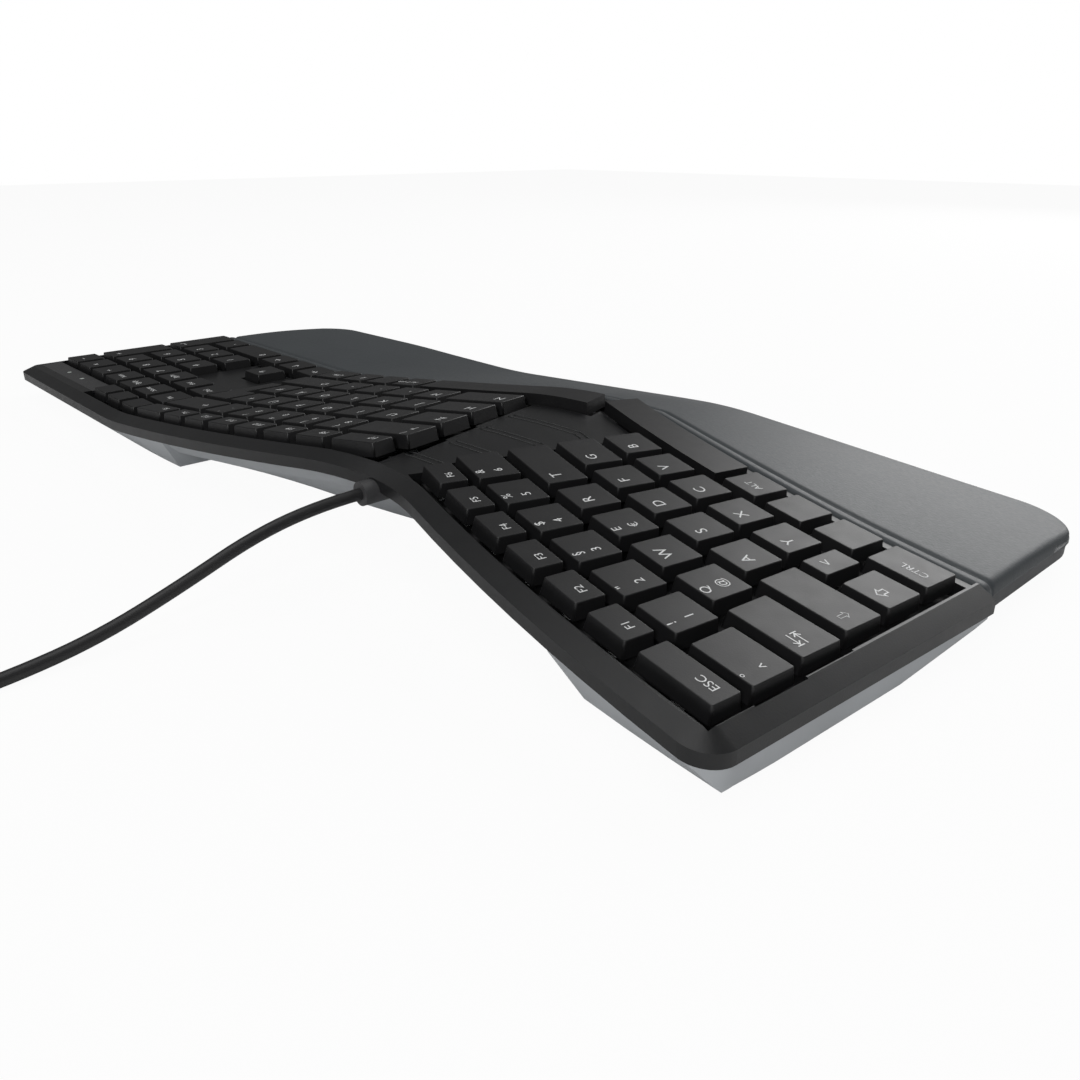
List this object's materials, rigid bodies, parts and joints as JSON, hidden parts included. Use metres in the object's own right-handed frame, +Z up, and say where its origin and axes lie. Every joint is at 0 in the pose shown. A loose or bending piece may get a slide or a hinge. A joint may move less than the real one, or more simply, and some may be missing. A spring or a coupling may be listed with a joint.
{
  "type": "ergonomic keyboard",
  "caption": "Full-size wired ergonomic keyboard with fanned, arched key halves, a number pad, a padded palm rest and a coiled cable.",
  "frame": {"origin": "middle of the keyboard's footprint on the desk, without its cable", "axes": "+X to the typist's right along the key rows, +Y away from the typist, +Z up"},
  "size_m": [0.4806, 0.4188, 0.0377],
  "materials": {
    "keycap": "matte, fine grained",
    "housing": "satin charcoal",
    "panel": "smooth black",
    "lamp": "clear",
    "plate": "plain",
    "dome": "silicone",
    "film": "smooth film",
    "steel": "plain",
    "board": "green laminate",
    "shell": "satin light grey",
    "tray": "satin charcoal",
    "pad": "blue-grey grained leatherette",
    "foot": "matte",
    "collar": "matte",
    "cable": "satin sheath",
    "plug": "satin",
    "contact": "plain"
  },
  "bodies": {
    "case": {"top_housing": "housing", "indicator_panel": "panel", "indicator_lamps": "lamp", "key_plate_left": "plate", "dome_mat_left": "dome", "membrane_left": "film", "backing_plate_left": "steel", "key_plate_right": "plate", "dome_mat_right": "dome", "membrane_right": "film", "backing_plate_right": "steel", "key_plate_number": "plate", "dome_mat_number": "dome", "membrane_number": "film", "backing_plate_number": "steel", "circuit_board": "board", "bottom_shell": "shell", "palm_base": "tray", "palm_pad": "pad", "rubber_feet": "foot", "housing_screws": "steel", "cable_collar": "collar", "cable_free": "cable", "cable_coil": "cable", "cable_tail": "cable", "plug_body": "plug", "plug_shell": "contact"},
    "key_escape": {"key_escape": "keycap"},
    "keys_function_left": {"keys_function_left": "keycap"},
    "keys_number_left": {"keys_number_left": "keycap"},
    "key_tab": {"key_tab": "keycap"},
    "keys_upper_left": {"keys_upper_left": "keycap"},
    "key_caps_lock": {"key_caps_lock": "keycap"},
    "keys_home_left": {"keys_home_left": "keycap"},
    "key_shift_left": {"key_shift_left": "keycap"},
    "keys_lower_left": {"keys_lower_left": "keycap"},
    "keys_modifier_left": {"keys_modifier_left": "keycap"},
    "key_space_left": {"key_space_left": "keycap"},
    "keys_function_right": {"keys_function_right": "keycap"},
    "keys_number_right": {"keys_number_right": "keycap"},
    "key_backspace": {"key_backspace": "keycap"},
    "keys_upper_right": {"keys_upper_right": "keycap"},
    "key_enter": {"key_enter": "keycap"},
    "keys_home_right": {"keys_home_right": "keycap"},
    "keys_lower_right": {"keys_lower_right": "keycap"},
    "key_shift_right": {"key_shift_right": "keycap"},
    "keys_modifier_right": {"keys_modifier_right": "keycap"},
    "key_space_right": {"key_space_right": "keycap"},
    "keys_system": {"keys_system": "keycap"},
    "keys_navigation": {"keys_navigation": "keycap"},
    "key_arrow_up": {"key_arrow_up": "keycap"},
    "keys_arrow": {"keys_arrow": "keycap"},
    "keys_number_pad": {"keys_number_pad": "keycap"},
    "keys_number_pad_tall": {"keys_number_pad_tall": "keycap"},
    "key_zero": {"key_zero": "keycap"}
  },
  "joints": [
    {"name": "key_escape_press", "type": "slide", "parent": "case", "child": "key_escape", "axis": [0.113, 0, -0.9936], "range_m": [0, 0.0024], "stiffness_N_per_m": 200, "springref_m": -0.001, "deforming": ["dome_mat_left"]},
    {"name": "keys_function_left_press", "type": "slide", "parent": "case", "child": "keys_function_left", "axis": [0.113, 0, -0.9936], "range_m": [0, 0.0024], "stiffness_N_per_m": 600, "springref_m": -0.001, "deforming": ["dome_mat_left"]},
    {"name": "keys_number_left_press", "type": "slide", "parent": "case", "child": "keys_number_left", "axis": [0.113, 0, -0.9936], "range_m": [0, 0.0024], "stiffness_N_per_m": 680, "springref_m": -0.001, "deforming": ["dome_mat_left"]},
    {"name": "key_tab_press", "type": "slide", "parent": "case", "child": "key_tab", "axis": [0.113, 0, -0.9936], "range_m": [0, 0.0024], "stiffness_N_per_m": 200, "springref_m": -0.001, "deforming": ["dome_mat_left"]},
    {"name": "keys_upper_left_press", "type": "slide", "parent": "case", "child": "keys_upper_left", "axis": [0.113, 0, -0.9936], "range_m": [0, 0.0024], "stiffness_N_per_m": 520, "springref_m": -0.001, "deforming": ["dome_mat_left"]},
    {"name": "key_caps_lock_press", "type": "slide", "parent": "case", "child": "key_caps_lock", "axis": [0.113, 0, -0.9936], "range_m": [0, 0.0024], "stiffness_N_per_m": 200, "springref_m": -0.001, "deforming": ["dome_mat_left"]},
    {"name": "keys_home_left_press", "type": "slide", "parent": "case", "child": "keys_home_left", "axis": [0.113, 0, -0.9936], "range_m": [0, 0.0024], "stiffness_N_per_m": 520, "springref_m": -0.001, "deforming": ["dome_mat_left"]},
    {"name": "key_shift_left_press", "type": "slide", "parent": "case", "child": "key_shift_left", "axis": [0.113, 0, -0.9936], "range_m": [0, 0.0024], "stiffness_N_per_m": 200, "springref_m": -0.001, "deforming": ["dome_mat_left"]},
    {"name": "keys_lower_left_press", "type": "slide", "parent": "case", "child": "keys_lower_left", "axis": [0.113, 0, -0.9936], "range_m": [0, 0.0024], "stiffness_N_per_m": 600, "springref_m": -0.001, "deforming": ["dome_mat_left"]},
    {"name": "keys_modifier_left_press", "type": "slide", "parent": "case", "child": "keys_modifier_left", "axis": [0.113, 0, -0.9936], "range_m": [0, 0.0024], "stiffness_N_per_m": 440, "springref_m": -0.001, "deforming": ["dome_mat_left"]},
    {"name": "key_space_left_press", "type": "slide", "parent": "case", "child": "key_space_left", "axis": [0.113, 0, -0.9936], "range_m": [0, 0.0024], "stiffness_N_per_m": 200, "springref_m": -0.001, "deforming": ["dome_mat_left"]},
    {"name": "keys_function_right_press", "type": "slide", "parent": "case", "child": "keys_function_right", "axis": [-0.1038, 0, -0.9946], "range_m": [0, 0.0024], "stiffness_N_per_m": 760, "springref_m": -0.001, "deforming": ["dome_mat_right"]},
    {"name": "keys_number_right_press", "type": "slide", "parent": "case", "child": "keys_number_right", "axis": [-0.1038, 0, -0.9946], "range_m": [0, 0.0024], "stiffness_N_per_m": 600, "springref_m": -0.001, "deforming": ["dome_mat_right"]},
    {"name": "key_backspace_press", "type": "slide", "parent": "case", "child": "key_backspace", "axis": [-0.1038, 0, -0.9946], "range_m": [0, 0.0024], "stiffness_N_per_m": 200, "springref_m": -0.001, "deforming": ["dome_mat_right"]},
    {"name": "keys_upper_right_press", "type": "slide", "parent": "case", "child": "keys_upper_right", "axis": [-0.1038, 0, -0.9946], "range_m": [0, 0.0024], "stiffness_N_per_m": 680, "springref_m": -0.001, "deforming": ["dome_mat_right"]},
    {"name": "key_enter_press", "type": "slide", "parent": "case", "child": "key_enter", "axis": [-0.1038, 0, -0.9946], "range_m": [0, 0.0024], "stiffness_N_per_m": 200, "springref_m": -0.001, "deforming": ["dome_mat_right"]},
    {"name": "keys_home_right_press", "type": "slide", "parent": "case", "child": "keys_home_right", "axis": [-0.1038, 0, -0.9946], "range_m": [0, 0.0024], "stiffness_N_per_m": 680, "springref_m": -0.001, "deforming": ["dome_mat_right"]},
    {"name": "keys_lower_right_press", "type": "slide", "parent": "case", "child": "keys_lower_right", "axis": [-0.1038, 0, -0.9946], "range_m": [0, 0.0024], "stiffness_N_per_m": 520, "springref_m": -0.001, "deforming": ["dome_mat_right"]},
    {"name": "key_shift_right_press", "type": "slide", "parent": "case", "child": "key_shift_right", "axis": [-0.1038, 0, -0.9946], "range_m": [0, 0.0024], "stiffness_N_per_m": 200, "springref_m": -0.001, "deforming": ["dome_mat_right"]},
    {"name": "keys_modifier_right_press", "type": "slide", "parent": "case", "child": "keys_modifier_right", "axis": [-0.1038, 0, -0.9946], "range_m": [0, 0.0024], "stiffness_N_per_m": 440, "springref_m": -0.001, "deforming": ["dome_mat_right"]},
    {"name": "key_space_right_press", "type": "slide", "parent": "case", "child": "key_space_right", "axis": [-0.1038, 0, -0.9946], "range_m": [0, 0.0024], "stiffness_N_per_m": 200, "springref_m": -0.001, "deforming": ["dome_mat_right"]},
    {"name": "keys_system_press", "type": "slide", "parent": "case", "child": "keys_system", "axis": [0, 0, -1], "range_m": [0, 0.0024], "stiffness_N_per_m": 360, "springref_m": -0.001, "deforming": ["dome_mat_number"]},
    {"name": "keys_navigation_press", "type": "slide", "parent": "case", "child": "keys_navigation", "axis": [0, 0, -1], "range_m": [0, 0.0024], "stiffness_N_per_m": 600, "springref_m": -0.001, "deforming": ["dome_mat_number"]},
    {"name": "key_arrow_up_press", "type": "slide", "parent": "case", "child": "key_arrow_up", "axis": [0, 0, -1], "range_m": [0, 0.0024], "stiffness_N_per_m": 200, "springref_m": -0.001, "deforming": ["dome_mat_number"]},
    {"name": "keys_arrow_press", "type": "slide", "parent": "case", "child": "keys_arrow", "axis": [0, 0, -1], "range_m": [0, 0.0024], "stiffness_N_per_m": 360, "springref_m": -0.001, "deforming": ["dome_mat_number"]},
    {"name": "keys_number_pad_press", "type": "slide", "parent": "case", "child": "keys_number_pad", "axis": [0, 0, -1], "range_m": [0, 0.0024], "stiffness_N_per_m": 1240, "springref_m": -0.001, "deforming": ["dome_mat_number"]},
    {"name": "keys_number_pad_tall_press", "type": "slide", "parent": "case", "child": "keys_number_pad_tall", "axis": [0, 0, -1], "range_m": [0, 0.0024], "stiffness_N_per_m": 280, "springref_m": -0.001, "deforming": ["dome_mat_number"]},
    {"name": "key_zero_press", "type": "slide", "parent": "case", "child": "key_zero", "axis": [0, 0, -1], "range_m": [0, 0.0024], "stiffness_N_per_m": 200, "springref_m": -0.001, "deforming": ["dome_mat_number"]}
  ]
}
